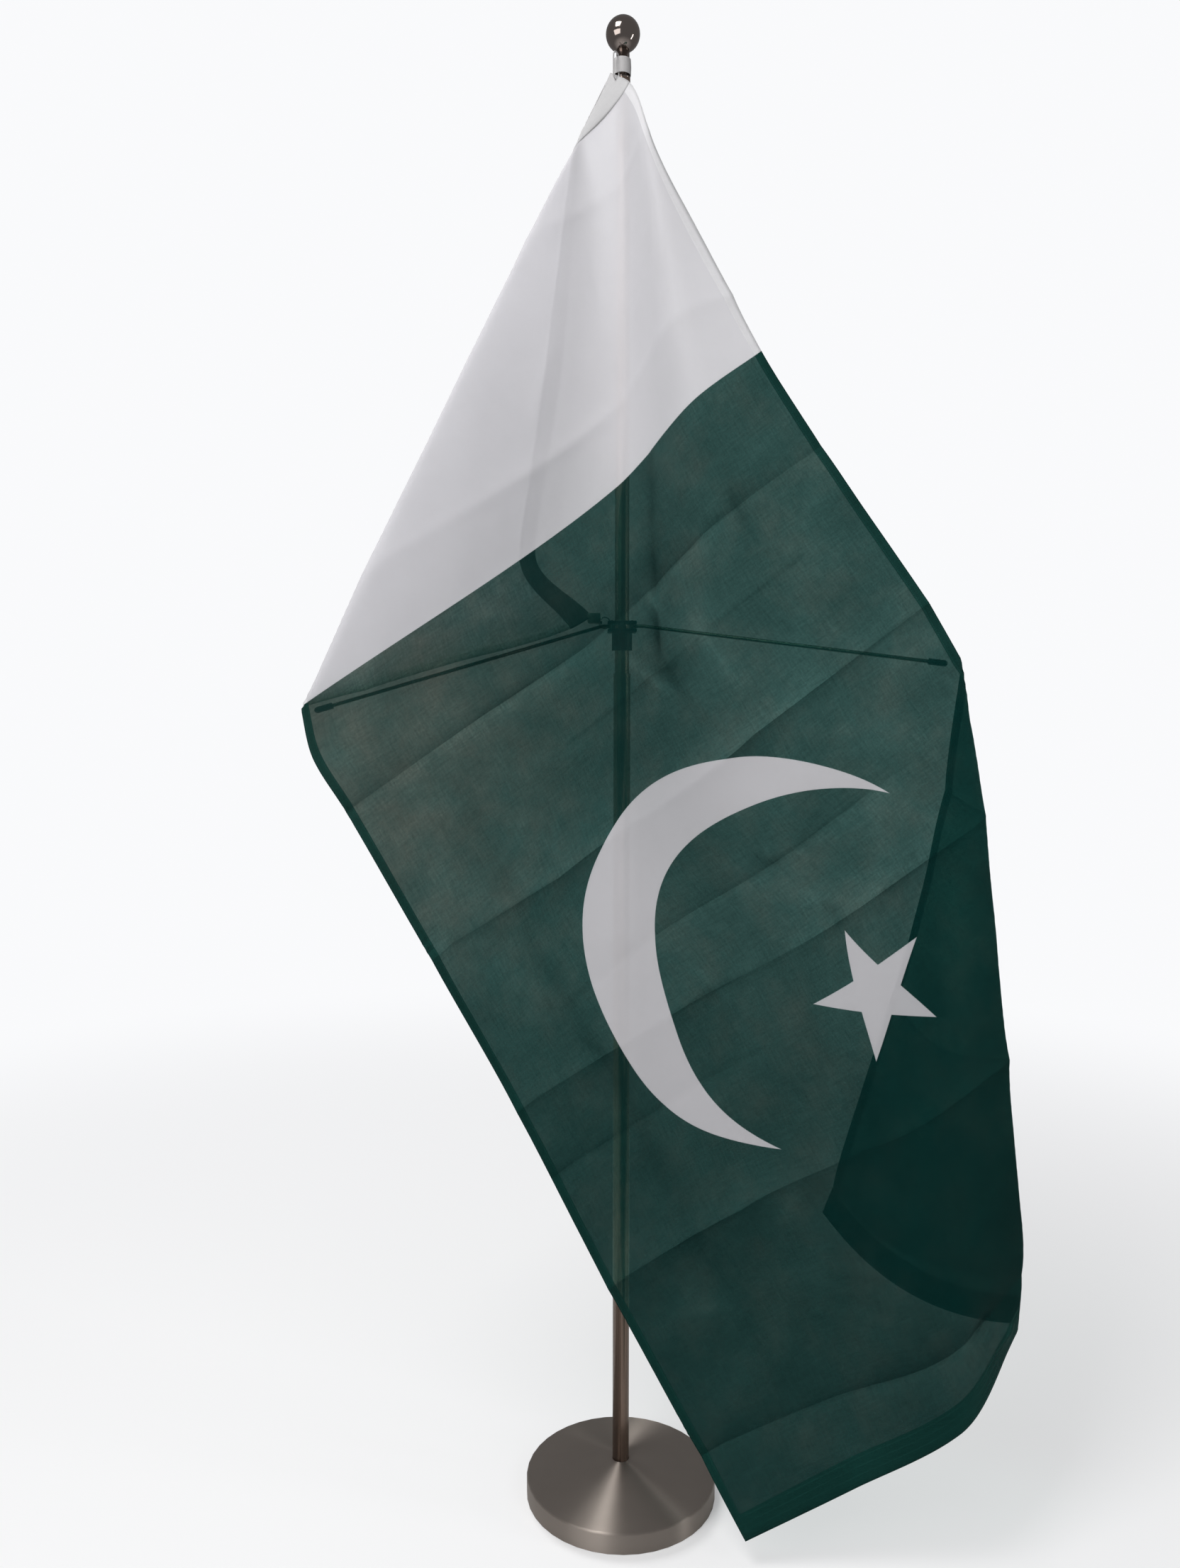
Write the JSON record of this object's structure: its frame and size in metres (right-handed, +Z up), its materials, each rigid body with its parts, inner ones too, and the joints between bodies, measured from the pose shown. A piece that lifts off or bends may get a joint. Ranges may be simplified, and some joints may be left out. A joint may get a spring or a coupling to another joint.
{
  "type": "national flag on an indoor floor stand",
  "caption": "Green and white national flag with crescent and star, hung point-up and folded back at both sides, on a steel floor stand with a ball finial and two thin spreader arms.",
  "frame": {"origin": "centre of the base's underside, on the flat foot of the pole, on the floor", "axes": "+Z up along the pole; the flag's face looks towards -Y; +X is to the viewer's right"},
  "size_m": [1.0316, 0.3906, 2.2745],
  "materials": {
    "flag_cloth": "thin woven polyester, slightly sheer, with fold creases",
    "heading_canvas": "white canvas strip",
    "stand_steel": "polished tube, circular brushing on the base",
    "finial_chrome": "polished",
    "hub_black": "satin black",
    "band_webbing": "pale grey webbing",
    "clip_plastic": "translucent clear plastic"
  },
  "bodies": {
    "root": {"base_plate": "stand_steel", "pole_lower": "stand_steel", "pole_upper": "stand_steel", "finial_neck": "finial_chrome", "finial_ball": "finial_chrome", "hub_body": "hub_black", "hub_plate_lower": "hub_black", "hub_plate_upper": "hub_black", "hub_screw": "stand_steel", "arm_left": "stand_steel", "arm_right": "stand_steel", "arm_pin_left": "stand_steel", "arm_pin_right": "stand_steel", "arm_cap_left": "hub_black", "arm_cap_right": "hub_black", "top_band": "band_webbing", "top_link": "finial_chrome", "hub_ring": "finial_chrome", "hub_clip": "clip_plastic", "flag_cloth": "flag_cloth", "flag_heading": "heading_canvas"}
  },
  "joints": []
}
